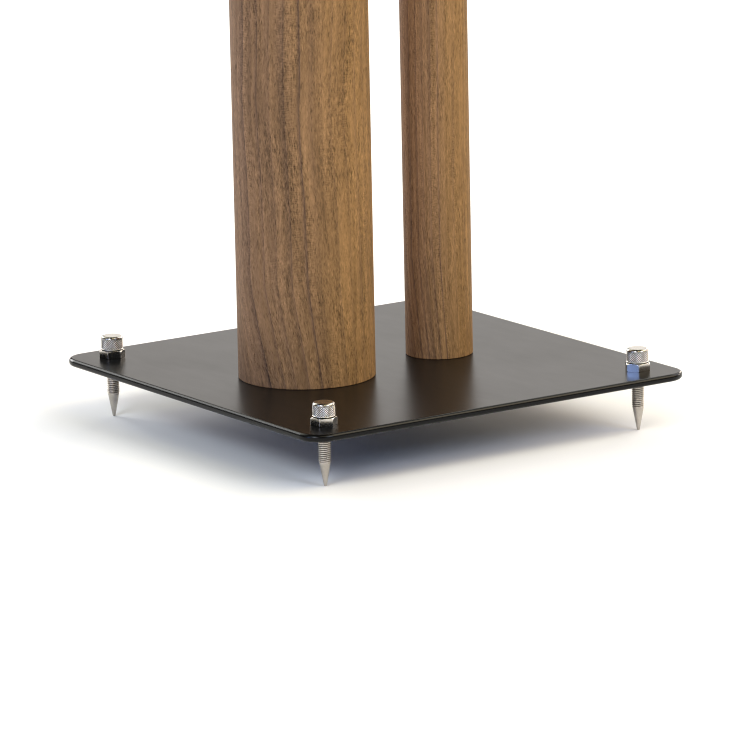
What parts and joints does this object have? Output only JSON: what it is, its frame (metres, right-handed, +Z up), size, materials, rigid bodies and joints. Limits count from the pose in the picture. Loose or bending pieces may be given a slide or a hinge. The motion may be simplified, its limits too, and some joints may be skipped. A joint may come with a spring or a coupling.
{
  "type": "speaker stand",
  "caption": "Speaker stand: steel base and top plates joined by a thick and a thin walnut column, on spike feet with lock nuts and knurled caps that set the level.",
  "frame": {"origin": "on the floor under the middle of the base plate, where the spike points rest", "axes": "+Z up along the columns; -Y is the front, where the large column stands; +X is to the right for a person looking along +Y"},
  "size_m": [0.3, 0.294, 0.602],
  "materials": {
    "black_powder_coat": "satin black powder coat",
    "walnut": "matt lacquered walnut",
    "spike_steel": "turned steel",
    "nickel": "bright nickel plate",
    "black_rubber": "matt rubber",
    "fibreboard": "raw fibreboard",
    "brass": "turned brass",
    "black_screw_steel": "black oxide"
  },
  "bodies": {
    "root": {"base_plate": "black_powder_coat", "top_plate": "black_powder_coat", "speaker_bumpers": "black_rubber", "main_column": "walnut", "rear_column": "walnut", "main_lower_plug": "fibreboard", "main_upper_plug": "fibreboard", "rear_lower_plug": "fibreboard", "rear_upper_plug": "fibreboard", "main_lower_inserts": "brass", "main_upper_inserts": "brass", "rear_lower_insert": "brass", "rear_upper_insert": "brass", "main_lower_screws": "black_screw_steel", "main_upper_screws": "black_screw_steel", "rear_lower_screw": "black_screw_steel", "rear_upper_screw": "black_screw_steel"},
    "spike_front_left": {"spike_front_left": "spike_steel"},
    "cap_front_left": {"cap_front_left": "nickel"},
    "nut_front_left": {"lock_nut_front_left": "nickel"},
    "spike_front_right": {"spike_front_right": "spike_steel"},
    "cap_front_right": {"cap_front_right": "nickel"},
    "nut_front_right": {"lock_nut_front_right": "nickel"},
    "spike_rear_left": {"spike_rear_left": "spike_steel"},
    "cap_rear_left": {"cap_rear_left": "nickel"},
    "nut_rear_left": {"lock_nut_rear_left": "nickel"},
    "spike_rear_right": {"spike_rear_right": "spike_steel"},
    "cap_rear_right": {"cap_rear_right": "nickel"},
    "nut_rear_right": {"lock_nut_rear_right": "nickel"}
  },
  "joints": [
    {"name": "spike_lift_front_left", "type": "slide", "parent": "root", "child": "spike_front_left", "axis": [0, 0, 1], "range_m": [0, 0.01]},
    {"name": "cap_turn_front_left", "type": "hinge", "parent": "spike_front_left", "child": "cap_front_left", "pos_m": [-0.125, -0.122, 0.0497], "axis": [0, 0, 1], "range_deg": [0, 2880.5]},
    {"name": "nut_turn_front_left", "type": "hinge", "parent": "root", "child": "nut_front_left", "pos_m": [-0.125, -0.122, 0.0422], "axis": [0, 0, 1], "range_deg": [0, 60]},
    {"name": "spike_lift_front_right", "type": "slide", "parent": "root", "child": "spike_front_right", "axis": [0, 0, 1], "range_m": [0, 0.01]},
    {"name": "cap_turn_front_right", "type": "hinge", "parent": "spike_front_right", "child": "cap_front_right", "pos_m": [0.125, -0.122, 0.0497], "axis": [0, 0, 1], "range_deg": [0, 2880.5]},
    {"name": "nut_turn_front_right", "type": "hinge", "parent": "root", "child": "nut_front_right", "pos_m": [0.125, -0.122, 0.0422], "axis": [0, 0, 1], "range_deg": [0, 60]},
    {"name": "spike_lift_rear_left", "type": "slide", "parent": "root", "child": "spike_rear_left", "axis": [0, 0, 1], "range_m": [0, 0.01]},
    {"name": "cap_turn_rear_left", "type": "hinge", "parent": "spike_rear_left", "child": "cap_rear_left", "pos_m": [-0.125, 0.122, 0.0497], "axis": [0, 0, 1], "range_deg": [0, 2880.5]},
    {"name": "nut_turn_rear_left", "type": "hinge", "parent": "root", "child": "nut_rear_left", "pos_m": [-0.125, 0.122, 0.0422], "axis": [0, 0, 1], "range_deg": [0, 60]},
    {"name": "spike_lift_rear_right", "type": "slide", "parent": "root", "child": "spike_rear_right", "axis": [0, 0, 1], "range_m": [0, 0.01]},
    {"name": "cap_turn_rear_right", "type": "hinge", "parent": "spike_rear_right", "child": "cap_rear_right", "pos_m": [0.125, 0.122, 0.0497], "axis": [0, 0, 1], "range_deg": [0, 2880.5]},
    {"name": "nut_turn_rear_right", "type": "hinge", "parent": "root", "child": "nut_rear_right", "pos_m": [0.125, 0.122, 0.0422], "axis": [0, 0, 1], "range_deg": [0, 60]}
  ],
  "couplings": [
    {"joint": "cap_turn_front_left", "follows": "spike_lift_front_left", "rad_per_m": 5026.5},
    {"joint": "cap_turn_front_right", "follows": "spike_lift_front_right", "rad_per_m": 5026.5},
    {"joint": "cap_turn_rear_left", "follows": "spike_lift_rear_left", "rad_per_m": 5026.5},
    {"joint": "cap_turn_rear_right", "follows": "spike_lift_rear_right", "rad_per_m": 5026.5}
  ]
}
